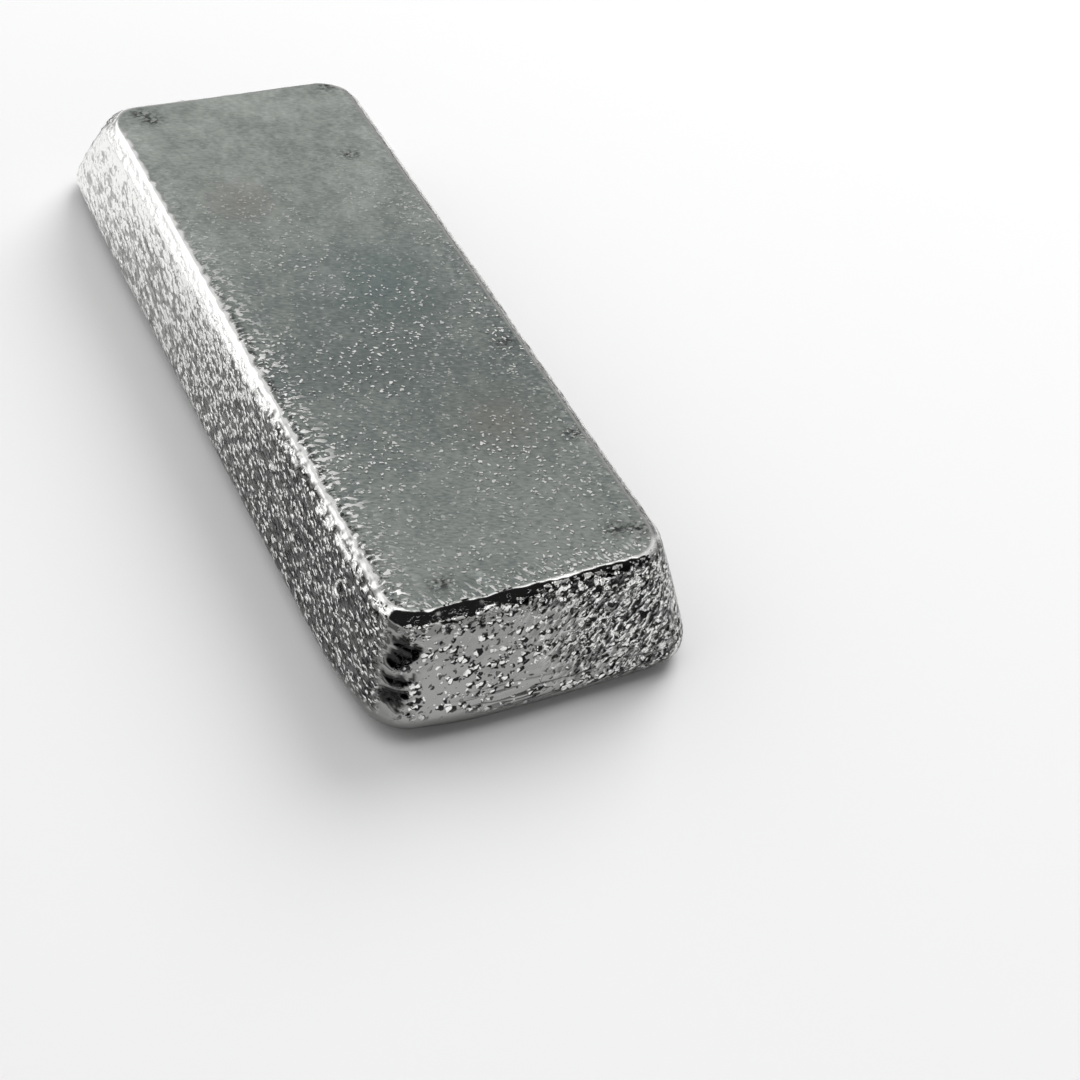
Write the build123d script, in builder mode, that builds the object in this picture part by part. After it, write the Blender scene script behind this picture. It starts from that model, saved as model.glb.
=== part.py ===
from build123d import *

import os

# A pewter ingot, cast as one piece in an open mould and turned out upside down.
# The face that lay on the mould's floor is on top. The wider face, which was open to the air, is below.
# The origin is the centre of the lower face: X runs along the ingot, Y across it and Z up. Millimetres.

# Depth of the metal, from the face open to the air to the mould's floor
thickness = 14.6

# The rectangle of the mould's floor, before its corners and edges are rounded
floor_length = 100.0
floor_width = 36.5

# How far the walls lean out from upright, in degrees, so that the ingot drops out of the mould
side_draft = 15.0
end_draft = 26.0

# Rounding of the four upright corners
corner_radius = 6.0

# Rounding where the walls meet the mould's floor
floor_edge_radius = 2.0

# Rounding that the skin of the liquid metal drew along the open edge
pour_edge_radius = 2.4

floor_plane = Plane.XY.offset(thickness)

with BuildPart() as ingot:
    # A plain block hung from the mould's floor
    with BuildSketch(floor_plane):
        Rectangle(floor_length, floor_width)
    extrude(amount=-thickness)

    # The long sides and the ends each lean out by their own angle, and the mould's floor keeps its size
    draft(ingot.faces().filter_by(Axis.Y), neutral_plane=floor_plane, angle=side_draft)
    draft(ingot.faces().filter_by(Axis.X), neutral_plane=floor_plane, angle=end_draft)

    # The leaning corners come first, so that each rim then runs round them in one smooth line
    corners = ingot.edges().group_by(Axis.Z)[1]
    fillet(corners, radius=corner_radius)

    floor_rim = ingot.edges().group_by(Axis.Z)[-1]
    fillet(floor_rim, radius=floor_edge_radius)

    pour_rim = ingot.edges().group_by(Axis.Z)[0]
    fillet(pour_rim, radius=pour_edge_radius)

ingot.part.label = "ingot"

os.makedirs("parts", exist_ok=True)
export_step(ingot.part, "parts/ingot.step")

box = ingot.part.bounding_box().size
print(f"ingot: {box.X:.2f} x {box.Y:.2f} x {box.Z:.2f} mm, {ingot.part.volume / 1000:.2f} cubic cm")
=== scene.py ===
# %% [markdown]
# A pewter ingot is a small bar of tin alloy, poured into an open iron mould and knocked out upside down.
# The face on top took its shape from the mould's floor, and the wider face below set in the open air.
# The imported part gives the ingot's true size. This lesson adds what the casting left on its skin.

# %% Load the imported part
import math

import bpy
import numpy as np
from mathutils import Matrix, Vector, noise


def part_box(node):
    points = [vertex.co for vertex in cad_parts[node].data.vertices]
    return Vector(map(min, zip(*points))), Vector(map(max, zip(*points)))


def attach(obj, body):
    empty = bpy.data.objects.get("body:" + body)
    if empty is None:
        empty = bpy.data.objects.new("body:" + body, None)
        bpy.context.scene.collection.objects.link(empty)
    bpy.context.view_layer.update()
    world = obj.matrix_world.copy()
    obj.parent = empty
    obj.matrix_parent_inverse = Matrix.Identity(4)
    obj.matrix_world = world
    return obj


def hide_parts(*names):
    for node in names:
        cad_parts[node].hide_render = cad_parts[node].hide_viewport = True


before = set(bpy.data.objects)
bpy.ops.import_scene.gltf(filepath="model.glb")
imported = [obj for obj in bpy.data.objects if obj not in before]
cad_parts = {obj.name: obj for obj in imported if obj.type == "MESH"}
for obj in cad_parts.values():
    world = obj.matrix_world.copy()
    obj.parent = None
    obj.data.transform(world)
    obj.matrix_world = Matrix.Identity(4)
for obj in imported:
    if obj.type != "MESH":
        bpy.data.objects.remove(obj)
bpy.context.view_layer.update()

low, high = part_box("ingot")
MM = 0.001
thickness = (high[2] - low[2]) / MM
print("packed ingot, mm:", [round((b - a) / MM, 2) for a, b in zip(low, high)])

# %% [markdown]
# The bar has leaning walls, because it must drop out of its mould, and every edge of it is rounded.
# A box with bevels could stand for it, but the skin needs an even net of small faces to carry its marks.
# So the surface is worked out from the mould's own sizes: a ball is rolled round each rim, and rows of
# points join the upper ball to the lower one. The sizes are those of the solid part, in millimetres.

# %% The mould's sizes
floor_length = 100.0
floor_width = 36.5
side_lean = math.radians(15.0)
end_lean = math.radians(26.0)
corner_radius = 6.0
floor_edge_radius = 2.0
pour_edge_radius = 2.4
half_length = floor_length / 2
half_width = floor_width / 2
up = np.array([0.0, 0.0, 1.0])
ahead = np.array([1.0, 0.0, 0.0])
across = np.array([0.0, 1.0, 0.0])


def corner_axis(height, half_size, lean):
    """How far a leaning corner's axis stands from the ingot's middle, at a height."""
    return half_size - corner_radius / math.cos(lean) + (thickness - height) * math.tan(lean)


open_width = floor_width + 2 * thickness * math.tan(side_lean)
print("width of the floor and of the open face, mm:", floor_width, round(open_width, 1))


# %% Roll a ball along one wall
def wall_run(cells, outward, along, half_out, lean_out, half_along, lean_along):
    """Normals and the two balls' centres along one wall, from the middle of a corner to the next."""
    turn_angle = math.acos(math.sin(lean_out) * math.sin(lean_along))
    flat = corner_axis(thickness / 2, half_along, lean_along)
    bend = corner_radius * turn_angle / 2
    place = np.linspace(-flat - bend, flat + bend, cells, endpoint=False)
    straight = np.clip(place / flat, -1, 1)[:, None]
    turn = turn_angle / 2 * np.clip((abs(place) - flat) / bend, 0, 1)[:, None]
    own = outward * math.cos(lean_out) + up * math.sin(lean_out)
    neighbour = np.sign(place)[:, None] * along * math.cos(lean_along) + up * math.sin(lean_along)
    normal = (np.sin(turn_angle - turn) * own + np.sin(turn) * neighbour) / math.sin(turn_angle)

    def ball_centre(radius, height):
        inset = corner_radius - radius
        axis_height = height - inset * normal[:, 2:]
        out = corner_axis(axis_height, half_out, lean_out)
        beside = straight * corner_axis(axis_height, half_along, lean_along)
        return out * outward + beside * along + axis_height * up + inset * normal

    upper = ball_centre(floor_edge_radius, thickness - floor_edge_radius)
    lower = ball_centre(pour_edge_radius, pour_edge_radius)
    return normal, upper, lower


# Faces along a long side and along an end
side_cells = 276
end_cells = 98
end_sizes = (half_length, end_lean, half_width, side_lean)
side_sizes = (half_width, side_lean, half_length, end_lean)
runs = [
    wall_run(end_cells, ahead, across, *end_sizes),
    wall_run(side_cells, across, -ahead, *side_sizes),
    wall_run(end_cells, -ahead, -across, *end_sizes),
    wall_run(side_cells, -across, ahead, *side_sizes),
]
wall_normal, upper_ball, lower_ball = (np.concatenate(part) for part in zip(*runs))
print("points round the rim:", len(wall_normal))


# %% Rows of points from the upper rim to the lower rim
def roll(centre, radius, first, last, steps):
    """Rows of points and normals on a ball that turns from one direction to another."""
    angle = np.arccos((first * last).sum(axis=1))[:, None]
    rows = []
    for part in np.linspace(0, 1, steps + 1):
        normal = (np.sin((1 - part) * angle) * first + np.sin(part * angle) * last) / np.sin(angle)
        rows.append((centre + radius * normal, normal))
    return rows


# Faces down the upper rim, the wall and the lower rim
floor_roll_cells = 9
wall_cells = 37
pour_roll_cells = 12
all_up = np.broadcast_to(up, wall_normal.shape)
floor_roll = roll(upper_ball, floor_edge_radius, all_up, wall_normal, floor_roll_cells)
pour_roll = roll(lower_ball, pour_edge_radius, wall_normal, -all_up, pour_roll_cells)
wall_top, wall_foot = floor_roll[-1][0], pour_roll[0][0]
wall_rows = []
for part in np.linspace(0, 1, wall_cells + 1)[1:-1]:
    wall_rows.append((wall_top + part * (wall_foot - wall_top), wall_normal))
rows = floor_roll + wall_rows + pour_roll
row_points = np.array([row for row, normal in rows])
row_normals = np.array([normal for row, normal in rows])
row_count, rim_count = row_points.shape[:2]
print("rows from rim to rim:", row_count)

# %% [markdown]
# The walls are now a ring of points that is open above and below. The mould's floor and the open face
# close it. One large face on each would do for a plain bar, but it couldn't carry any marks.
# So a net is stretched over each rim, as fine as the rim itself, and its border is the rim's own.


# %% Fill the two flat faces
def rim_sides(loop):
    """The four sides of a closed rim: left and right run ahead, far and near run across."""
    rim_dents_with_painted_shade = np.cumsum([0, end_cells, side_cells, end_cells, side_cells])
    near, right, far, left = (
        np.take(loop, np.arange(a, b + 1), axis=0, mode="wrap") for a, b in zip(rim_dents_with_painted_shade[:-1], rim_dents_with_painted_shade[1:])
    )
    return left, right[::-1], far[::-1], near


def fill(loop):
    """A net of points stretched over a rim, so that its edges lie on the rim."""
    left, right, far, near = rim_sides(loop)
    u = np.linspace(0, 1, side_cells + 1)[:, None, None]
    v = np.linspace(0, 1, end_cells + 1)[None, :, None]
    between_sides = (1 - v) * left[:, None] + v * right[:, None]
    between_ends = (1 - u) * far[None] + u * near[None]
    far_corners = (1 - v) * left[0] + v * right[0]
    near_corners = (1 - v) * left[-1] + v * right[-1]
    return between_sides + between_ends - (1 - u) * far_corners - u * near_corners


floor_net = fill(row_points[0])[1:-1, 1:-1].reshape(-1, 3)
pour_net = fill(row_points[-1])[1:-1, 1:-1].reshape(-1, 3)
points = np.concatenate([row_points.reshape(-1, 3), floor_net, pour_net])
normals = np.concatenate([
    row_normals.reshape(-1, 3),
    np.broadcast_to(up, floor_net.shape),
    np.broadcast_to(-up, pour_net.shape),
])
print("points in the skin:", len(points))


# %% Join the points into faces
def net_numbers(loop_numbers, first_inner):
    """Vertex numbers of a filled net: the rim's own on its border, new ones inside."""
    numbers = np.zeros((side_cells + 1, end_cells + 1), dtype=int)
    left, right, far, near = rim_sides(loop_numbers)
    numbers[:, 0] = left
    numbers[:, -1] = right
    numbers[0, :] = far
    numbers[-1, :] = near
    inner = numbers[1:-1, 1:-1]
    inner[:] = first_inner + np.arange(inner.size).reshape(inner.shape)
    return numbers


def quads(numbers):
    """Four-sided faces between neighbouring rows and columns of a net."""
    a, b = numbers[:-1, :-1], numbers[1:, :-1]
    c, d = numbers[1:, 1:], numbers[:-1, 1:]
    return np.stack([a, b, c, d], axis=-1).reshape(-1, 4)


wall_numbers = np.arange(row_count * rim_count).reshape(row_count, rim_count)
closed_walls = np.concatenate([wall_numbers, wall_numbers[:, :1]], axis=1)
floor_numbers = net_numbers(wall_numbers[0], wall_numbers.size)
pour_numbers = net_numbers(wall_numbers[-1], wall_numbers.size + len(floor_net))
faces = np.concatenate([quads(closed_walls), quads(floor_numbers), quads(pour_numbers)[:, ::-1]])
print("triangles in the skin:", 2 * len(faces))

# %% [markdown]
# Tin alloy freezes within seconds of touching the cold iron, so the skin keeps the mould's unevenness,
# the folds where the metal hung back and the small gas pits. They are moved into the mesh itself,
# always along the surface's own normal and mostly inwards, so the bar stays inside its true size.
# Bump alone would leave the outline as straight as a ruler, which no casting is.


# %% Helpers for the relief
def smooth(value, start, end):
    """0 before the start, 1 after the end, and a soft step between; the end may be the lower one."""
    part = np.clip((value - start) / (end - start), 0, 1)
    return part * part * (3 - 2 * part)


def swell(size, start, places=points):
    """Random heights from -1 to 1, as wide as a size in mm; the start picks the draw."""
    steps = places / np.array(size) + start
    return np.fromiter(map(noise.noise, steps.tolist()), float, len(steps))


def crests(size, start, places=points):
    """Sharp winding ridges from 0 to 1, as wide as a size in mm."""
    sharpness = 2.6
    return np.clip(1 - sharpness * abs(swell(size, start, places)), 0, 1)


print("heights of a random field 5 mm wide:", np.round(np.percentile(swell(5.0, 0.5), [5, 95]), 2))

# %% [markdown]
# A casting's parts look different: the mould's floor leaves a dull face, its walls a brighter one, and
# the open air a smooth skin. Faces could be picked by hand, but masks worked out from each point's
# place and normal follow the shape by themselves and fade softly from one skin into the next.

# %% Where each point lies
x, y, z = points.T
nx, ny, nz = normals.T
below = thickness - z
from_side = half_width - abs(y)
from_end = half_length - abs(x)
on_left = y < 0
# The two ends are alike, turned half round, so this grows from a smooth corner to a rough one on both
to_rough = np.where(x > 0, y, -y)
print("points on the left half:", int(on_left.sum()))

# %% Where each kind of skin lies
level = np.maximum(np.hypot(nx, ny), 0.01)
facing_end = abs(nx) / level
facing_side = abs(ny) / level
floor_face = smooth(nz, 0.990, 0.998)
pour_face = smooth(nz, -0.3, -0.95)
wall = smooth(nz, 0.99, 0.80) * (1 - pour_face)
# A rough corner carries the end's own skin round to the side, a smooth one doesn't
end_reach = np.where(to_rough > 0, 0.40, 0.0)
end_wall = wall * smooth(facing_end + end_reach, 0.72, 0.95)
side_wall = wall * smooth(facing_side, 0.80, 0.94)
rim = np.sin(np.pi * np.clip((nz - 0.35) / 0.65, 0, 1))
print("share of the skin on the mould's floor:", round(float((floor_face > 0.5).mean()), 2))

# %% Where the metal set in the open air
# The last millimetres kept a smooth liquid skin, higher at the near left corner, which was drawn in most
corner_x, corner_y = 54.0, 20.0
skin_rise = 2.3
drawn = np.exp(-((x - corner_x) / 9.0) ** 2 - ((y + corner_y) / 14.0) ** 2)
pour_skin = 1 - smooth(z - skin_rise * drawn, 0.9, 2.6)
cast_wall = 1 - pour_skin
print("share of the liquid skin:", round(float((pour_skin > 0.5).mean()), 2))

# %% [markdown]
# No mould is quite flat, and metal shrinks as it sets, so a casting's faces swell and sink a little.
# A displace modifier could do this, but then the later marks couldn't count from the same depth.
# So one array holds how deep each point lies under the mould's face, and every mark adds to it.

# %% Broad unevenness
broad_depth = 0.09
broad_swell = swell(13.0, 11.3)
depth = broad_depth * (1 + (1 - 0.85 * end_wall) * broad_swell) * (1 - pour_face)
print("broad unevenness, mm:", round(float(np.ptp(depth)), 2))

# %% [markdown]
# The metal never quite fills the sharp foot of a mould, so the upper rim is a narrow slanting land,
# cut a little deeper here than there. A bevel modifier would make it even all the way round.
# Here a slanting plane cuts the rolled rim at each point along it, by a depth that wanders.

# %% Which way the land faces
land_tilt = 0.40
land_facing = (1 - land_tilt) * wall_normal + land_tilt * up
land_facing /= np.linalg.norm(land_facing, axis=1)[:, None]
print("land leans back by, degrees:", np.round(np.degrees(np.arcsin(land_facing[:, 2].min())), 1))

# %% How deep the land is cut
rim_x, rim_y = wall_top[:, 0], wall_top[:, 1]
rim_end = smooth(abs(wall_normal[:, 0]), 0.5, 0.8)
rim_left_far = (rim_y < 0) * (1 - rim_end) * smooth(rim_x, 20.0, -25.0)
rim_smooth = smooth(np.where(rim_x > 0, rim_y, -rim_y), 16.0, -12.0)
rim_hidden = np.maximum(rim_end * (rim_x < 0), (1 - rim_end) * (rim_y > 0))
land_wander = 0.11 * swell(2.4, 31.7, wall_top) + 0.10 * swell(0.95, 35.1, wall_top)
wander_share = 1 + 0.6 * rim_end * (rim_x > 0) - 0.65 * rim_hidden - 0.8 * rim_left_far
land_cut = 0.03 + rim_end * (0.13 + 0.10 * rim_smooth) + 0.24 * rim_left_far
land_cut += wander_share * land_wander
print("land cut, mm:", round(float(land_cut.min()), 2), "to", round(float(land_cut.max()), 2))

# %% Cut the land
land_over = ((row_points - upper_ball) * land_facing).sum(axis=2) - floor_edge_radius + land_cut
land_slope = np.maximum((row_normals * land_facing).sum(axis=2), 0.3)
land_rows = np.clip(land_over, 0, None) / land_slope
land_depth = np.concatenate([land_rows.reshape(-1), np.zeros(len(floor_net) + len(pour_net))])
depth += land_depth
print("deepest cut, mm:", round(float(land_depth.max()), 2))

# %% [markdown]
# Just above the land the rim is rubbed bright, and on the left the metal ran over it in small beads.
# Each bead could be a small ball of its own, but they are part of the casting. So the rim's inner edge
# is moved in and out by a random field, and what lies outside that edge stands a little higher.

# %% A rubbed line along the rim
rim_steep = nz + 0.20 * swell(0.8, 43.9) + 0.42 * on_left * smooth(x, 18.0, -14.0)
rim_steep -= 0.05 * smooth(x, -5.0, 20.0)
line_share = np.where(on_left, 1.0, 0.15)
rim_line = smooth(facing_side, 0.8, 0.94) * smooth(rim_steep, 0.84, 0.93) * line_share
crest = smooth(nz + 0.15 * swell(1.0, 57.7), 0.78, 0.90) * (1 - floor_face)
crest *= smooth(facing_end, 0.3, 0.6)
print("points on the rubbed line:", int((rim_line > 0.5).sum()))

# %% Beads and waves along the rim
bead_height = 0.06
rim_gap = abs(row_points[0][:, 1]).max() - abs(y)
bead_edge = 0.16 + 0.55 * swell(1.2, 88.9)
rim_beads = on_left * (nz > 0.99) * smooth(rim_gap - bead_edge, 0.25, -0.15)
rim_beads *= smooth(from_end, 4.0, 8.0)
depth -= bead_height * rim_beads
land = np.maximum.reduce([smooth(land_depth, 0.0, 0.03), rim_line, crest, rim_beads])
rim_waves = 0.06 * swell(2.6, 38.3) + 0.09 * swell(1.15, 47.1) + 0.09 * swell(0.75, 53.3)
far_left = on_left * smooth(x, 20.0, -20.0)
depth += rim * (0.5 + 0.8 * on_left * side_wall) * (1 - 0.65 * far_left) * rim_waves
print("points on beads:", int((rim_beads > 0.5).sum()))

# %% [markdown]
# Beside the left rim and the near edge, the cooling metal wrinkled into short folds. Each one leaves
# the rim slanting towards the far end and then bends back. Drawn one by one they would take hundreds
# of curves. Ridges of a random field do it, once the field is bent by the same hook.

# %% Short folds that run in from the rim
hook_reach = np.clip(from_side - 1.5, 0, 6)
hook_bend = 0.35 * hook_reach - 1.1 * (1 - np.exp(-hook_reach))
fold_waver = 1.4
bent = points + fold_waver * np.stack([swell(1.9, 2.2), swell(1.9, 4.4), 0 * x], axis=1)
bent[:, 0] -= hook_bend
near_left = smooth(x, -28.0, 10.0) * on_left
side_folds = smooth(from_side, 6.5, 2.2) * floor_face * (0.12 + 0.88 * near_left)
end_folds = smooth(from_end, 4.5, 1.0) * floor_face * (x > 0)
side_fold_height, end_fold_height = 0.17, 0.08
usual_crest = 0.7
depth -= side_folds * side_fold_height * (crests((1.2, 2.3, 3.0), 5.9, bent) - usual_crest)
depth -= end_folds * end_fold_height * (crests((2.6, 1.1, 2.0), 8.3, bent) - usual_crest)
print("deepest so far, mm:", round(float(depth.max()), 2))

# %% [markdown]
# The mould's walls leave a grain in the metal: fine dashes along the sides, and on each end
# one half almost plain and one half crumpled, with lumps hanging under the rim.
# Only the coarse part of it is moved here. The finer part would need far more faces, so it is left to bump.

# %% Grain of the long sides
side_grain_depth = 0.06
side_grain = swell((1.6, 0.5, 0.5), 17.7)
depth += side_wall * cast_wall * side_grain_depth * side_grain
print("side grain, mm:", round(float(np.ptp(side_grain) * side_grain_depth), 2))

# %% Lumps and grain of the ends
rough_end = end_wall * smooth(to_rough + 0.6 * (z - 5.0), -1.0, 9.0) * smooth(below, 0.4, 1.2)
rim_lumps = end_wall * smooth(z, 10.8, 12.4) * smooth(swell(1.15, 81.3), 0.05, 0.40)
rim_lumps *= smooth(below, 0.35, 1.0) * (0.35 + 0.65 * rough_end) * np.where(x > 0, 1.0, 0.3)
rim_lump_height = 0.28
depth -= rim_lump_height * rim_lumps
end_grain = swell((1.0, 1.0, 0.8), 23.9)
depth += end_wall * cast_wall * (0.012 + 0.13 * rough_end) * end_grain
print("share of the ends that is rough:", round(float((rough_end > 0.5).sum() / (end_wall > 0.5).sum()), 2))

# %% [markdown]
# As the mould fills, the metal rises against its ends in small steps, and each step leaves a lap,
# a thin line low on the wall. Loop cuts would make them straight and even.
# Ridges of a field that is wide along the wall and narrow upwards give lines that wander and stop.

# %% Laps low on the ends
lap_groove = 0.12
lap = crests((7.0, 7.0, 0.8), 13.7)
lap_depth = lap_groove * end_wall * cast_wall * smooth(z, 8.0, 3.0) * smooth(to_rough, -12.0, 6.0) * lap
depth += lap_depth
print("laps, mm:", round(float(lap_depth.max()), 2))

# %% [markdown]
# At two corners the metal hung back from the iron in a stack of folds, each with a deep shadow under it.
# They show plainly, so they are placed one by one instead of by chance. Sculpting would do as well,
# but a fold is simple enough to say in numbers: it deepens from its foot to its head and then stops short.

# %% Folds hanging on the upright corners
# Each fold: the turn of its middle away from the side in degrees,
# its foot and head in mm above the open face, its spread in degrees and its depth in mm
corner_folds = [
    (53.0, 11.1, 12.2, 13.0, 0.40),
    (64.0, 9.9, 11.5, 17.0, 0.50),
    (53.0, 8.9, 10.6, 15.0, 0.50),
    (56.0, 7.3, 8.3, 21.0, 0.40),
    (51.0, 4.8, 6.7, 22.0, 0.55),
    (61.0, 4.2, 4.7, 15.0, 0.20),
]
turn = np.degrees(np.arctan2(abs(nx), abs(ny)))
fold_corner = wall * (to_rough < 0) * smooth(turn, 22.0, 36.0) * smooth(turn, 84.0, 76.0)
fold_depth = np.zeros(len(points))
fold_shade = np.zeros(len(points))
for middle_turn, foot, head, spread, deep in corner_folds:
    beside = (turn - middle_turn) / spread + 0.6 * swell((2.0, 2.0, 0.7), 61.7)
    foot_line = foot + 1.2 * beside ** 2 + 0.6 * swell(1.1, 64.9)
    fold_height = (head - foot) * np.clip(1 - 0.75 * beside ** 2, 0.2, 1) + 0.3 * swell(0.8, 66.3)
    rise = (z - foot_line) / np.maximum(fold_height, 0.2)
    window = fold_corner * cast_wall * smooth(abs(beside), 1.15, 0.95)
    fold_depth += deep * window * np.clip(rise, 0, 1) * smooth(rise, 1.3, 1.0)
    fold_shade += window * smooth(rise, 0.0, 0.25) * smooth(rise, 1.15, 0.95)
depth += fold_depth
fold_shade = np.clip(1.7 * fold_shade, 0, 1)
print("corner folds, mm:", round(float(fold_depth.max()), 2))

# %% [markdown]
# One gas bubble burst on the left side, high up and close to the near end, and left a blowhole with a
# raised lip. A boolean cut would leave a sharp edge and long thin faces.
# A dent and a ring round it, both counted from the same middle, keep the net as it is.

# %% A blowhole on the left side
hole_x, hole_z, hole_size = 39.5, 10.5, 0.85
hole_depth, lip_height = 0.40, 0.10
# A gap this wide keeps a round mark off the opposite wall
far_off = 9
hole_gap = np.hypot(x - hole_x, z - hole_z) / hole_size + far_off * (1 - on_left)
hole_dent = hole_depth * smooth(hole_gap, 1.0, 0.4)
hole_lip = lip_height * smooth(abs(hole_gap - 1.15), 0.45, 0.1)
depth += side_wall * (hole_dent - hole_lip)
blowhole = side_wall * smooth(hole_gap, 1.0, 0.6)
print("blowhole, mm across:", 2 * hole_size)

# %% [markdown]
# The skin of liquid metal pulls itself round, so the open face's corners drew in, one more than the rest.
# A bigger fillet would change the whole corner up to the mould's floor.
# A soft pull that fades upwards and away from the corner changes only its foot.

# %% Corners that the liquid skin drew in
pull_reach = 8.0
# Each corner: near or far, right or left, and its pull in mm
drawn_corners = [(1, -1, 1.3), (1, 1, 0.3), (-1, 1, 0.7), (-1, -1, 0.5)]
for side_x, side_y, pull in drawn_corners:
    away = np.hypot(x - side_x * corner_x, y - side_y * corner_y)
    depth += pull * np.exp(-(away / pull_reach) ** 2) * smooth(z, 10.0, 0.5)
print("corners drawn in:", len(drawn_corners))

# %% [markdown]
# Air trapped against the iron leaves small pits on the ends, wider than they are high.
# Placing them by hand would make a pattern, so a seeded draw picks their places and sizes,
# and the bar comes out the same each time.

# %% Gas pits
pit_count = 26
draw = np.random.default_rng(12)
pit_ground = np.flatnonzero(end_wall * smooth(z, 3.0, 5.5) > 0.6)
sites = draw.choice(pit_ground, pit_count, replace=False)
for site in sites:
    size = draw.uniform(0.5, 0.8)
    along_y = (y - y[site]) / (1.5 * size)
    down = (z - z[site]) / size
    gap = np.hypot(along_y, down) + far_off * (abs(x - x[site]) > 4)
    depth += draw.uniform(0.14, 0.26) * smooth(gap, 1.0, 0.35)
print("pits on the ends:", len(sites))

# %% [markdown]
# The open face sets last, and as the metal shrinks its middle sinks. The bar lies on this face,
# so its rim has to stay level. A dish that is deepest in the middle and ends at the rim does that.

# %% The underside, which sank as it cooled
sink = (1 - (x / 55.0) ** 2) * (1 - (y / 21.0) ** 2)
depth += pour_face * np.clip(sink, 0, 1) * (0.25 + 0.12 * swell(7.0, 71.3))
print("deepest mark, mm:", round(float(depth.max()), 2))

# %% [markdown]
# The dull top face isn't one grey: a few dark smudges lie near the rim, and the film is a little
# cooler in one place and warmer in two. They could be painted by hand on a texture.
# Soft round masks need no picture, and the metal's own grain breaks them up later.

# %% Dark smudges on the top face
smudge_length, smudge_width = 1.1, 1.5
smudge_places = [
    (-47.9, 14.5), (-31.7, 11.5), (-47.4, -13.1), (-45.5, -12.0), (10.3, 15.0),
    (28.2, 15.9), (44.3, 12.8), (45.2, 15.6), (45.9, -10.2),
]
smudges = np.zeros(len(points))
for place_x, place_y in smudge_places:
    smudges += np.exp(-((x - place_x) / smudge_length) ** 2 - ((y - place_y) / smudge_width) ** 2)
smudges = np.clip(smudges, 0, 1) * floor_face
print("smudges:", len(smudge_places))


# %% Faint tints in the film
def patch(place_x, place_y, size):
    """A soft round patch on the top face."""
    return np.exp(-((x - place_x) ** 2 + (y - place_y) ** 2) / size ** 2) * floor_face


cool_tint = patch(-5.1, 4.5, 7.0)
warm_tint = np.maximum(patch(-25.4, -6.9, 5.0), patch(23.4, 8.0, 5.0))
print("tints:", round(float(cool_tint.max()), 2), round(float(warm_tint.max()), 2))

# %% [markdown]
# Everything is ready to become one mesh: the bar was cast as one piece, so it is one piece here too.
# The masks go with it as attributes, one number for each point. Separate materials for each part of the
# skin would leave hard borders between them, and attributes fade from one finish to the next.

# %% Make the ingot
skin_points = points - depth[:, None] * normals
# The ends draw in a little at the top, so they lean slightly more than the mould's sizes say
end_draw = 0.3
skin_points[:, 0] *= 1 - end_draw / half_length * z / thickness
skin_points = np.clip(skin_points * MM, np.array(low), np.array(high))
mesh = bpy.data.meshes.new("ingot_skin")
mesh.from_pydata(skin_points.tolist(), [], faces.tolist())
mesh.shade_smooth()
ingot = bpy.data.objects.new("ingot_skin", mesh)
bpy.context.scene.collection.objects.link(ingot)
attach(ingot, "root")
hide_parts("ingot")
print("ingot made:", len(mesh.polygons), "faces")

# %% Store the masks on the ingot
rough_patches = smooth(swell(4.0, 77.7), -0.25, 0.15)
under_rim_edge = below + 1.2 * swell(1.5, 45.1)
comb_top = z - 1.25 * smooth(to_rough, -7.0, 7.0)
skin_masks = {
    "floor_face": floor_face * (1 - rim_beads),
    "side_wall": side_wall,
    "end_wall": end_wall,
    "rough_end": rough_end * (0.45 + 0.55 * rough_patches),
    "pour_skin": np.maximum(pour_skin, pour_face),
    "land": land,
    "folds": side_folds,
    "near_edge": end_folds,
    "blowhole": blowhole,
    "rim_dent_shade": smooth(from_side, 3.4, 1.8) * floor_face * near_left,
    "under_rim": smooth(under_rim_edge, 5.5, 2.5) * smooth(x, 25.0, -15.0) * on_left,
    "smudges": smudges,
    "cool_tint": cool_tint,
    "warm_tint": warm_tint,
    "hook_bend": hook_bend,
    "fold_shade": fold_shade,
    "comb": end_wall * smooth(z, 12.0, 12.6) * smooth(comb_top, 13.8, 13.2),
    "lap_zone": end_wall * cast_wall * smooth(z, 6.5, 3.0) * smooth(to_rough, -14.0, -2.0),
}
for name, values in skin_masks.items():
    attribute = mesh.attributes.new(name, "FLOAT", "POINT")
    attribute.data.foreach_set("value", values.astype(np.float32))
print("masks on the skin:", len(skin_masks))

# %% [markdown]
# Cast pewter is a bright grey metal. Where it lay on the mould's floor it is dull, with small glints,
# and where it set against the walls or in the air it is closer to a mirror.
# One material does it all, with the masks above choosing the finish. The sums of the node tree are
# written as Python sums, so a small class wraps a socket and turns each operator into a Math node.


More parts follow.
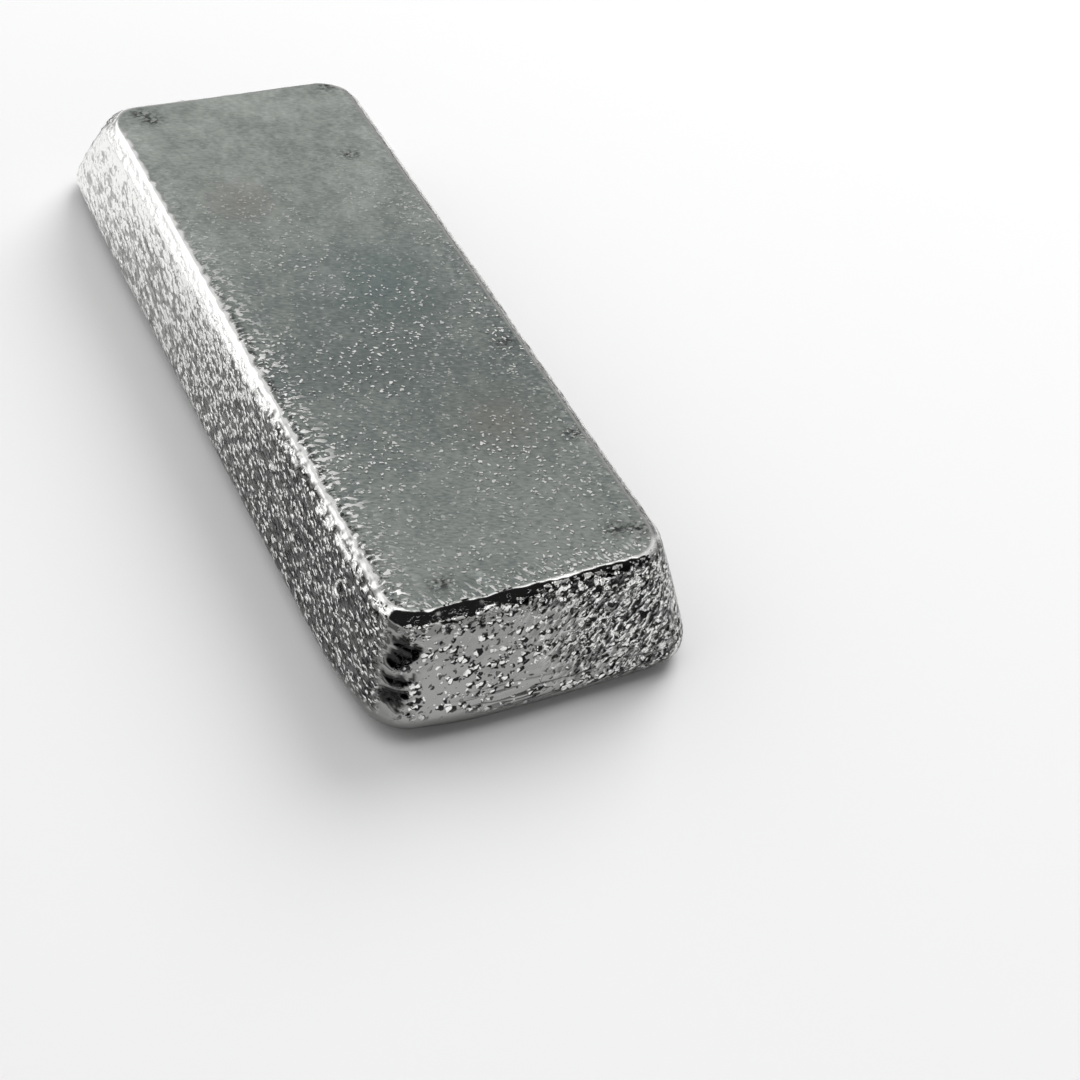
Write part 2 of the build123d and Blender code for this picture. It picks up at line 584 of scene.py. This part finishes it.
# %% Python sums for shader nodes
class Wire:
    """An output socket that Python's own operators can join to numbers and to other wires."""

    def __init__(self, tree, socket):
        self.tree = tree
        self.socket = socket

    @classmethod
    def node(cls, tree, kind, settings=None, sockets=None, output=0):
        """Adds a node, sets it up, fills or links its sockets, and gives one of its outputs."""
        made = tree.nodes.new(kind)
        for name, value in (settings or {}).items():
            setattr(made, name, value)
        for name, value in (sockets or {}).items():
            if isinstance(value, Wire):
                tree.links.new(value.socket, made.inputs[name])
            else:
                made.inputs[name].default_value = value
        return cls(tree, made.outputs[output])

    def output(self, name):
        """Another output of the same node."""
        return Wire(self.tree, self.socket.node.outputs[name])

    def sum(self, operation, first, second):
        """A Math node on two values."""
        return Wire.node(self.tree, "ShaderNodeMath", {"operation": operation}, {0: first, 1: second})

    def __add__(self, other):
        return self.sum("ADD", self, other)

    def __sub__(self, other):
        return self.sum("SUBTRACT", self, other)

    def __rsub__(self, other):
        return self.sum("SUBTRACT", other, self)

    def __mul__(self, other):
        return self.sum("MULTIPLY", self, other)

    def __abs__(self):
        return self.sum("ABSOLUTE", self, 0.0)

    __radd__ = __add__
    __rmul__ = __mul__

    def smooth(self, start, end):
        """0 before the start, 1 after the end, and a soft step between; the end may be the lower one."""
        if start > end:
            return 1 - self.smooth(end, start)
        settings = {"interpolation_type": "SMOOTHSTEP"}
        sockets = {"Value": self, "From Min": start, "From Max": end}
        return Wire.node(self.tree, "ShaderNodeMapRange", settings, sockets)


metal = bpy.data.materials.new("cast_pewter")
metal.use_nodes = True
tree = metal.node_tree
print("nodes of a new material:", len(tree.nodes))

# %% [markdown]
# The metal's grain comes from two kinds of random texture: clouds, and cells packed side by side.
# A texture could be laid on by unwrapping the mesh, but it would stretch over the corners.
# So each one is counted from the place in the bar, in millimetres, and a grain's size is a real size.

# %% Places in the metal
no_turn = (0.0, 0.0, 0.0)
object_place = Wire.node(tree, "ShaderNodeTexCoord", output="Object")
scale_sockets = {0: object_place, "Scale": 1 / MM}
in_mm = Wire.node(tree, "ShaderNodeVectorMath", {"operation": "SCALE"}, scale_sockets)
along = Wire.node(tree, "ShaderNodeSeparateXYZ", {}, {"Vector": in_mm}, "X")
sideways = along.output("Y")
upward = along.output("Z")


def mask(name):
    """One of the masks that are stored on the mesh."""
    return Wire.node(tree, "ShaderNodeAttribute", {"attribute_name": name}, output="Fac")


def vectors(operation, first, second):
    """A Vector Math node on two places or shifts."""
    return Wire.node(tree, "ShaderNodeVectorMath", {"operation": operation}, {0: first, 1: second})


def stretch(place, size, start=0.0, turn=no_turn):
    """A place counted in grains of a size in mm along their own x, y and z, which may be turned."""
    sockets = {"Vector": place, "Location": (start,) * 3, "Rotation": turn, "Scale": size}
    return Wire.node(tree, "ShaderNodeMapping", {"vector_type": "TEXTURE"}, sockets)


print("nodes for places:", len(tree.nodes))


# %% Clouds and packed cells
def grain(size, detail=1.0, rough=0.5, start=0.0, turn=no_turn, place=in_mm):
    """Random values about 0.5 over the metal."""
    sockets = {"Vector": stretch(place, size, start, turn), "Scale": 1.0}
    sockets.update({"Detail": detail, "Roughness": rough})
    return Wire.node(tree, "ShaderNodeTexNoise", {}, sockets)


# A place that wavers a little, so that lumps aren't all round
waver_size = (0.7, 0.7, 0.7)
waver_reach = (0.9, 0.9, 0.9)
waver = grain(waver_size).output("Color")
waver_sockets = {0: waver, 1: waver_reach, 2: in_mm}
wavered = Wire.node(tree, "ShaderNodeVectorMath", {"operation": "MULTIPLY_ADD"}, waver_sockets)


def packed(size, start, turn, place=wavered):
    """Cells packed side by side: how far each point is from its own cell's middle."""
    sockets = {"Vector": stretch(place, size, start, turn), "Scale": 1.0}
    return Wire.node(tree, "ShaderNodeTexVoronoi", {}, sockets, "Distance")


def domes(size, start, turn, place=wavered):
    """Rounded lumps packed side by side, 1 at their tops, and a random value for each."""
    cells = packed(size, start, turn, place)
    pick = Wire.node(tree, "ShaderNodeSeparateColor", {}, {"Color": cells.output("Color")})
    return 1 - cells, pick


print("nodes so far:", len(tree.nodes))

# %% [markdown]
# The top face is covered with tiny bright grains, most of them towards the near end, each with a painted
# shadow just before it. They are under half a millimetre long, too fine for the mesh.
# Packed cells give grains that never overlap, a random value for each cell leaves most of them out,
# and the same cells moved a little give the painted shadows.

# %% Glints on the top face
edge_mask = mask("near_edge")
fold_mask = mask("folds")
far_to_near = along.smooth(-40.0, 10.0)
glint_clouds = grain((14.0, 14.0, 14.0)).smooth(0.40, 0.58)
glint_share = (0.06 + 0.94 * far_to_near) * (0.35 + 0.65 * glint_clouds)
glint_share *= 1 - 0.25 * along.smooth(18.0, 36.0) * (1 - edge_mask)
glint_more = 0.40 * edge_mask + 0.30 * fold_mask
glint_size = (0.45, 0.64, 0.45)
glint_start = 25.0
glint_turn = (0.0, 0.0, math.radians(-22.0))
before_glint = (-0.26, 0.0, 0.0)
spot, spot_pick = domes(glint_size, glint_start, glint_turn)
glints = glint_share * (spot_pick + glint_more).smooth(0.62, 0.68) * spot.smooth(0.57, 0.71)
shade, shade_pick = domes(glint_size, glint_start, glint_turn, vectors("ADD", wavered, before_glint))
glint_shade = glint_share * (shade_pick + glint_more).smooth(0.62, 0.68) * shade.smooth(0.52, 0.68)
print("nodes with the glints:", len(tree.nodes))

# %% [markdown]
# The folds beside the rim end in fine bright hooks with small dents between them, painted dark as shade,
# and the near edge has short slanting strokes. Clouds that are narrow one way and long the other give
# strokes.
# The bend that the folds got in the mesh is taken along as a mask, so that the fine hooks follow the coarse
# ones.

# %% Hooks and strokes on the top face
dent_shade_mask = mask("rim_dent_shade")
hook_shift = Wire.node(tree, "ShaderNodeCombineXYZ", {}, {"X": mask("hook_bend")})
hook_place = vectors("SUBTRACT", in_mm, hook_shift)
short_hooks = grain((0.57, 0.95, 0.57), start=30.0, place=hook_place)
long_hooks = grain((0.62, 1.30, 0.62), start=35.0, place=hook_place)
hook_grain = short_hooks + along.smooth(0.0, 22.0) * (long_hooks - short_hooks)
edge_turn = (0.0, 0.0, math.radians(29.0))
edge_grain = grain((1.30, 0.50, 0.50), start=130.0, turn=edge_turn)
edge_strokes = 0.85 * edge_mask * edge_grain.smooth(0.57, 0.62)
hooks = fold_mask * hook_grain.smooth(0.54, 0.60) + edge_strokes
# The dents between the hooks are also painted dark below: painted shade
rim_dents_with_painted_shade = dent_shade_mask * hook_grain.smooth(0.46, 0.38)
grit = grain((0.16, 0.16, 0.16), 2.0)
glint_height, grit_height, hook_height, mark_depth = 0.06, 0.008, 0.12, 0.14
floor_relief = glint_height * glints + grit_height * grit + hook_height * hooks - mark_depth * rim_dents_with_painted_shade
print("nodes with the hooks:", len(tree.nodes))

# %% [markdown]
# The long sides carry bright dashes that lean a little, and further back the dashes grow into
# broader lumps. Scratches drawn on a texture would look flat.
# Long packed cells serve as dashes, broader ones take over far back, and their tops are raised.

# %% Dashes and lumps on the long sides
under_rim = mask("under_rim")
dash_lean = (0.0, math.radians(11.0), 0.0)
dash = 1 - packed((1.40, 0.48, 0.48), 0.0, dash_lean)
far_wall = along.smooth(0.0, -24.0)
far_lump = 1 - packed((1.9, 0.72, 0.72), 8.0, dash_lean)
side_lump = dash + far_wall * (far_lump - dash)
side_streak = grain((1.2, 0.27, 0.27), start=15.0, turn=dash_lean)
lump_height = 0.28 - 0.06 * far_wall
streak_height = 0.12 - 0.09 * far_wall
# Each part has its mean taken away, so that the side doesn't step where its relief begins
side_mean, streak_mean = 0.68, 0.5
side_raised = lump_height * (side_lump - side_mean) + streak_height * (side_streak - streak_mean)
side_relief = (1 - 0.35 * under_rim) * side_raised
print("nodes with the sides:", len(tree.nodes))

# %% [markdown]
# Each end has single specks on its plain half, a crowd of them on the rough half, and a row of
# lumps hanging like teeth under the dark land. All of them are grains of about a millimetre or less.
# Each speck is a lump painted bright as a highlight, with a pit beside it painted black as its shadow.
# Packed cells make them again: the masks only change how many are kept and how tall they stand.

# %% Specks, lumps and pits on the ends, painted with highlights and shadows
rough_mask = mask("rough_end")
comb_mask = mask("comb")
bead_size = (0.76, 1.04, 0.57)
bead_start = 40.0
bead_turn = (math.radians(12.0), 0.0, 0.0)
beside_lump = (0.0, -0.31, 0.09)
bead, bead_pick = domes(bead_size, bead_start, bead_turn)
# The same cells moved aside give the pits, which are painted black below as each lump's shadow
lee, lee_pick = domes(bead_size, bead_start, bead_turn, vectors("ADD", wavered, beside_lump))
crumb, crumb_pick = domes((0.42, 0.56, 0.36), 55.0, bead_turn)
crumbs = crumb.smooth(0.44, 0.58)
crowd = 0.20 * rough_mask + 0.30 * comb_mask + 0.25 * rough_mask * comb_mask
tooth = 0.55 * rough_mask * comb_mask - 0.88
bead_top = bead + 0.6 * (bead_pick + tooth)
lee_top = lee + 0.6 * (lee_pick + tooth)
# The lumps are painted bright below as highlights
lumps_with_highlight = (bead_pick + crowd).smooth(0.66, 0.70) * bead_top.smooth(0.55, 0.63)
lumps_with_highlight += 0.8 * (crumb_pick + 0.5 * crowd).smooth(0.84, 0.88) * crumbs * (1 - lumps_with_highlight)
pits = (lee_pick + crowd).smooth(0.66, 0.70) * lee_top.smooth(0.36, 0.48)
pits += 0.8 * (crumb_pick - 0.5 * crowd).smooth(0.16, 0.12) * crumbs * (1 - pits)
print("nodes with the lumps:", len(tree.nodes))

# %% [markdown]
# The rough half is crumpled into slanting ridges, and thin laps run low along the wall.
# A plain cloud has hills but no ridges. Where the cloud crosses its own middle value it is folded over,
# and that line becomes a crest, or a thin dark lap where only the line itself is kept.

# %% Crumples and laps on the ends
crease_turn = (math.radians(42.0), 0.0, 0.0)
crease = grain((1.15, 2.5, 0.8), 1.5, start=90.0, turn=crease_turn)
ridge = 1 - 5.0 * abs(crease - 0.5)
crumple = 0.36 * ridge + 0.06 * grain((0.34, 0.42, 0.30), 1.5)
lap_cloud = grain((16.0, 9.0, 0.75), start=110.0)
lap_line = mask("lap_zone") * abs(lap_cloud - 0.5).smooth(0.045, 0.015)
# Lumps on the land hang over, so that they face the light below the dark side
hanging_from = 13.0
hanging = 0.9 * comb_mask * (upward - hanging_from)
speck_height, pit_depth, crumple_mean, lap_line_depth = 0.18, 0.20, 0.22, 0.12
end_relief = (speck_height + hanging) * lumps_with_highlight - pit_depth * pits
end_relief += rough_mask * (crumple - crumple_mean)
end_relief -= lap_line_depth * lap_line
print("nodes with the crumples:", len(tree.nodes))

# %% [markdown]
# Now the reliefs of the three kinds of face are joined into one height, each under its own mask.
# The liquid skin stays smooth, and so does most of the rubbed land on the ends, while the sides keep
# their lumps up to the rim. One Bump node turns the height into a normal, because a chain of them would
# cost more and each would see only its own part.

# %% Join the relief
floor_mask = mask("floor_face")
side_mask = mask("side_wall")
end_mask = mask("end_wall")
skin_mask = mask("pour_skin")
cast_mask = 1 - skin_mask
plain_land = mask("land") * (1 - rough_mask) * (1 - comb_mask)
side_part = side_mask * (1 - 0.35 * plain_land)
end_part = end_mask * (1 - 0.95 * plain_land)
wall_relief = cast_mask * (side_part * side_relief + end_part * end_relief)
relief_mm = floor_mask * floor_relief + wall_relief
bump_sockets = {"Strength": 1.0, "Distance": MM, "Height": relief_mm}
metal_normal = Wire.node(tree, "ShaderNodeBump", {}, bump_sockets)
print("nodes for the relief:", len(tree.nodes))

# %% [markdown]
# A thin film dulls the top face, greenish grey in the middle and paler far back, with a fine brushed
# grain in it. A single grey would look like paint. Clouds of two sizes, the brushed grain and soft steps
# along the bar, darker round the middle and lighter near the near end, say how light the film is,
# and that chooses between a dark grey and a pale one.


# %% The film on the top face
def blend(amount, first, second):
    """One colour turning into another as an amount goes from 0 to 1."""
    sockets = {"Factor": amount, 6: first, 7: second}
    return Wire.node(tree, "ShaderNodeMix", {"data_type": "RGBA"}, sockets, 2)


tarnish = grain((9.0, 9.0, 9.0), 3.0, 0.6)
mottle = grain((1.6, 1.6, 1.6), 4.0, 0.65, 60.0)
brushed = grain((0.3, 0.9, 0.3), start=70.0, turn=glint_turn) - 0.5
cloudy = 0.5 * tarnish.smooth(0.35, 0.65) + 0.5 * mottle.smooth(0.3, 0.7)
middle = along.smooth(-34.0, -6.0) * along.smooth(42.0, 8.0)
film_lightness = 0.16 + 0.62 * cloudy - 0.22 * middle + 0.16 * along.smooth(10.0, 40.0) + 1.7 * brushed
far_film_lightness = 0.1 + 0.8 * cloudy + 0.9 * brushed
near_dark, near_light = (0.17, 0.197, 0.188, 1), (0.330, 0.350, 0.328, 1)
far_dark, far_light = (0.245, 0.269, 0.251, 1), (0.495, 0.526, 0.494, 1)
near_film = blend(film_lightness, near_dark, near_light)
far_film = blend(far_film_lightness, far_dark, far_light)
film = blend(far_to_near, far_film, near_film)
print("nodes with the film:", len(tree.nodes))

# %% [markdown]
# On the film lie the faint tints, the smudges, the dents by the rim painted dark as shade and the painted
# shadows before the grains, and over all of them the bright grains, where bare metal shows.
# The real marks are laid on in the order in which they came about on the real bar.


# %% Tints, smudges and bright grains
def grey(value, warm=0.98):
    """A metal's grey, a little less blue than even."""
    return value, value, warm * value, 1.0


cool_film, warm_film = (0.125, 0.178, 0.178, 1), (0.24, 0.225, 0.20, 1)
cooled = blend(0.45 * mask("cool_tint"), film, cool_film)
dull = blend(0.5 * mask("warm_tint"), cooled, warm_film)
smudge = mask("smudges") * grain((0.5, 0.8, 0.5), 2.0, 0.6, 20.0).smooth(0.42, 0.58)
# Real smudges, and the dents by the rim painted dark as shade
stained_and_shaded = blend(smudge + rim_dents_with_painted_shade, dull, grey(0.04))
# Painted shadow: the film is darkened just before each bright grain
film_with_glint_shadows = blend(0.55 * glint_shade, stained_and_shaded, (0.07, 0.08, 0.077, 1))
bare_grain = grey(0.95)
rubbed = blend(hooks, blend(glints, film_with_glint_shadows, bare_grain), bare_grain)
print("nodes with the top face:", len(tree.nodes))

# %% [markdown]
# On the sides the tops of the dashes are painted bright as highlights, and the hollows between them are
# painted darker as shade, most of all towards the near end, where that painted shade stands for a dark
# reflection; far back more of the wall is painted white, a painted reflection. Light alone wouldn't show
# such fine relief, so its hollows are darkened in the colour too. The blowhole is painted black as shade,
# with a painted highlight on the far half of its lip.

# %% Colour of the long sides
# Colours for painted highlights and painted shade
painted_highlight, shade_black = grey(0.97), grey(0.02)
# Painted reflection: towards the near end the hollows darken, and far back the dashes grow whiter
painted_reflection_ramp = along.smooth(-58.0, 30.0)
streak = side_streak.smooth(0.36, 0.62)
far_hollow_shade = blend(streak, grey(0.40), grey(0.66))
near_hollow_shade = blend(streak, shade_black, grey(0.17))
side_hollow_shade = blend(painted_reflection_ramp, far_hollow_shade, near_hollow_shade)
# More of the wall is painted white far back and just under the rim: painted reflection
dash_share = side_lump + 0.36 * (1 - painted_reflection_ramp) * (1 - 0.40 * far_wall) + 0.14 * under_rim
dash_share += 0.09 * along.smooth(-28.0, -46.0)
dashed = blend(dash_share.smooth(0.55, 0.72), side_hollow_shade, painted_highlight)
print("nodes with the sides' colour:", len(tree.nodes))

# %% Colour of the blowhole
# The hole is painted black as shade
hole_shaded = blend(mask("blowhole"), dashed, grey(0.05))
from_hole_x = along - hole_x
from_hole_z = upward - hole_z
hole_far = (from_hole_x * from_hole_x + from_hole_z * from_hole_z) * (1 / hole_size ** 2)
# The far half of the lip is painted bright as a highlight
lip_highlight = hole_far.smooth(0.8, 1.1) * hole_far.smooth(1.9, 1.5) * sideways.smooth(-10.0, -15.0)
lip_highlight *= 0.9 * from_hole_x.smooth(0.4, -0.3)
side_colour = blend(lip_highlight, hole_shaded, painted_highlight)
print("nodes with the blowhole:", len(tree.nodes))

# %% [markdown]
# The ends are plain grey with specks painted bright as highlights and pits painted black as their shadows.
# On the rough half the crests of the crumples are painted bright as highlights and their hollows nearly
# black as shade, and just under the land the ground between the lumps is painted black as shade too.
# Each is one more blend, from the ground up to what stands out most.

# %% Colour of the ends
# Painted light and shade: bright crests and nearly black hollows on the crumples
crumple_shade = blend(ridge.smooth(0.1, 0.70), grey(0.01), grey(0.30))
crumple_light_and_shade = blend(ridge.smooth(0.70, 0.86), crumple_shade, painted_highlight)
end_plain = blend(lap_line, blend(rough_mask, grey(0.36), crumple_light_and_shade), grey(0.06))
# Painted shade: the ground between the lumps under the land is darkened
band_shade = 0.85 * comb_mask * (0.25 + 0.75 * rough_mask)
end_banded = blend(band_shade, end_plain, shade_black)
# Lumps painted bright as highlights, pits painted black as their shadows
end_colour = blend(lumps_with_highlight, blend(pits, end_banded, shade_black), painted_highlight)
print("nodes with the ends' colour:", len(tree.nodes))

# %% [markdown]
# At last the colours of all faces are joined by the masks, the shadowed corner folds go over them,
# and the gloss is set: the walls are almost mirrors, and the film on the top face is duller.
# Metallic is 1 all over, because the film is far too thin to hide the metal.

# %% Join colour and gloss
unfolded = blend(end_mask, blend(side_mask, grey(0.31), side_colour), end_colour)
cast_colour = blend(mask("fold_shade"), unfolded, grey(0.04))
wall_colour = blend(skin_mask, cast_colour, grey(0.29))
edged = blend(plain_land, wall_colour, grey(0.90))
colour = blend(floor_mask, edged, rubbed)
wall_gloss = 0.12
gloss = wall_gloss + floor_mask * (0.23 + 0.06 * tarnish - 0.10 * glints - 0.12 * hooks)
shader = tree.nodes["Principled BSDF"]
shader.inputs["Metallic"].default_value = 1.0
tree.links.new(colour.socket, shader.inputs["Base Color"])
tree.links.new(gloss.socket, shader.inputs["Roughness"])
tree.links.new(metal_normal.socket, shader.inputs["Normal"])
mesh.materials.append(metal)
print("nodes in the metal:", len(tree.nodes))

# %% [markdown]
# Bare metal shows little but what stands round it, so the studio matters as much as the finish.
# A lamp or two would leave most of the bar black. Here the sky itself holds the studio: a grey room with
# a brighter back wall, a sheet overhead, a panel behind on the left, a dark upper front where the camera
# stands, a lighter foot below it, and a dim horizon on the left.

# %% Directions in the studio
world = bpy.data.worlds.new("studio")
bpy.context.scene.world = world
world.use_nodes = True
sky = world.node_tree
look = Wire.node(sky, "ShaderNodeTexCoord", output="Generated")


def towards(direction):
    """How closely the sky's direction agrees with another one, 1 where they are the same."""
    unit = Vector(direction).normalized()
    return Wire.node(sky, "ShaderNodeVectorMath", {"operation": "DOT_PRODUCT"}, {0: look, 1: unit}, "Value")


height = towards((0, 0, 1))
front = towards((1, 0, 0)).smooth(-0.02, 0.22)
print("nodes for directions:", len(sky.nodes))

# %% Walls and sheets of the studio
dark_side = 0.97 * front * height.smooth(0.38, 0.54)
front_foot = front * height.smooth(0.50, 0.36)
back_wall = (1 - front) * height.smooth(0.10, 0.40)
overhead = towards((-0.02, 0.12, 1.0)).smooth(0.895, 0.94)
back_left = towards((-0.62, -0.55, 0.56)).smooth(0.78, 0.90)
left_dim = towards((0.1, -1.0, 0.0)).smooth(0.58, 0.78) * height.smooth(0.35, 0.15)
grey_room = (0.34 + 0.08 * height.smooth(0.2, 0.0) + 0.38 * front_foot) * (1 - 0.7 * left_dim)
glow = (grey_room + 0.40 * back_wall + 0.7 * overhead + 0.6 * back_left) * (1 - dark_side)
background = sky.nodes["Background"]
sky.links.new(glow.socket, background.inputs["Color"])
background.inputs["Strength"].default_value = 1.0
print("nodes in the studio:", len(sky.nodes))

# %% [markdown]
# The sky alone leaves the floor without a clear shadow. One broad lamp from behind on the right gives
# it a soft one. The lamp is hidden from reflections, because its disk would show as a spot on the metal.

# %% Key lamp
key_from = Vector((-0.55, 0.6, 0.55)).normalized()
key_distance = 1.2
key_lamp = bpy.data.lights.new("key", "AREA")
key_lamp.shape = "DISK"
key_lamp.size = 0.8
key_lamp.energy = 11.0
key = bpy.data.objects.new("key", key_lamp)
key.location = key_distance * key_from
key.rotation_euler = key_from.to_track_quat("Z", "Y").to_euler()
key.visible_glossy = False
bpy.context.scene.collection.objects.link(key)
print("key lamp at, m:", [round(v, 2) for v in key.location])

# %% [markdown]
# The bar lies on plain white paper. A curved backdrop would do, but the camera looks down,
# so a floor that reaches far beyond the view is enough.

# %% Floor
floor_reach = 20.0
floor_corners = [(-1, -1), (1, -1), (1, 1), (-1, 1)]
floor_points = [(a * floor_reach, b * floor_reach, 0.0) for a, b in floor_corners]
floor_mesh = bpy.data.meshes.new("studio_floor")
floor_mesh.from_pydata(floor_points, [], [(0, 1, 2, 3)])
floor = bpy.data.objects.new("studio_floor", floor_mesh)
floor.location.z = low[2]
bpy.context.scene.collection.objects.link(floor)
paper = bpy.data.materials.new("white_paper")
paper.use_nodes = True
paper_shader = paper.node_tree.nodes["Principled BSDF"]
paper_shader.inputs["Base Color"].default_value = (0.92, 0.92, 0.92, 1)
paper_shader.inputs["Roughness"].default_value = 0.9
floor_mesh.materials.append(paper)
print("floor, m:", 2 * floor_reach)

# %% [markdown]
# The camera looks down on the near end and the left side, rolled a little, as a hand holds it.
# A Track To constraint couldn't give the roll, so the three directions of the camera are worked out:
# outwards from the aim, level to the right, and then both turned by the roll.

# %% Camera
aim = Vector((0.04305, 0.00355, 0.0146))
camera_distance = 0.22528
camera_azimuth = math.radians(-36.05)
camera_elevation = math.radians(44.88)
camera_roll = math.radians(13.08)
camera_out = Vector((
    math.cos(camera_elevation) * math.cos(camera_azimuth),
    math.cos(camera_elevation) * math.sin(camera_azimuth),
    math.sin(camera_elevation),
))
level_right = Vector((0, 0, 1)).cross(camera_out).normalized()
level_up = camera_out.cross(level_right)
camera_right = math.cos(camera_roll) * level_right + math.sin(camera_roll) * level_up
camera_up = camera_out.cross(camera_right)
lens = bpy.data.cameras.new("camera")
lens.sensor_width = 36.0
lens.lens = 65.71
lens.clip_start = 0.01
camera = bpy.data.objects.new("camera", lens)
camera_turn = Matrix((camera_right, camera_up, camera_out)).transposed().to_4x4()
camera.matrix_world = Matrix.Translation(aim + camera_distance * camera_out) @ camera_turn
bpy.context.scene.collection.objects.link(camera)
bpy.context.scene.camera = camera
bpy.context.scene.view_settings.view_transform = "Standard"
print("camera at, mm:", [round(v / MM, 1) for v in camera.location])
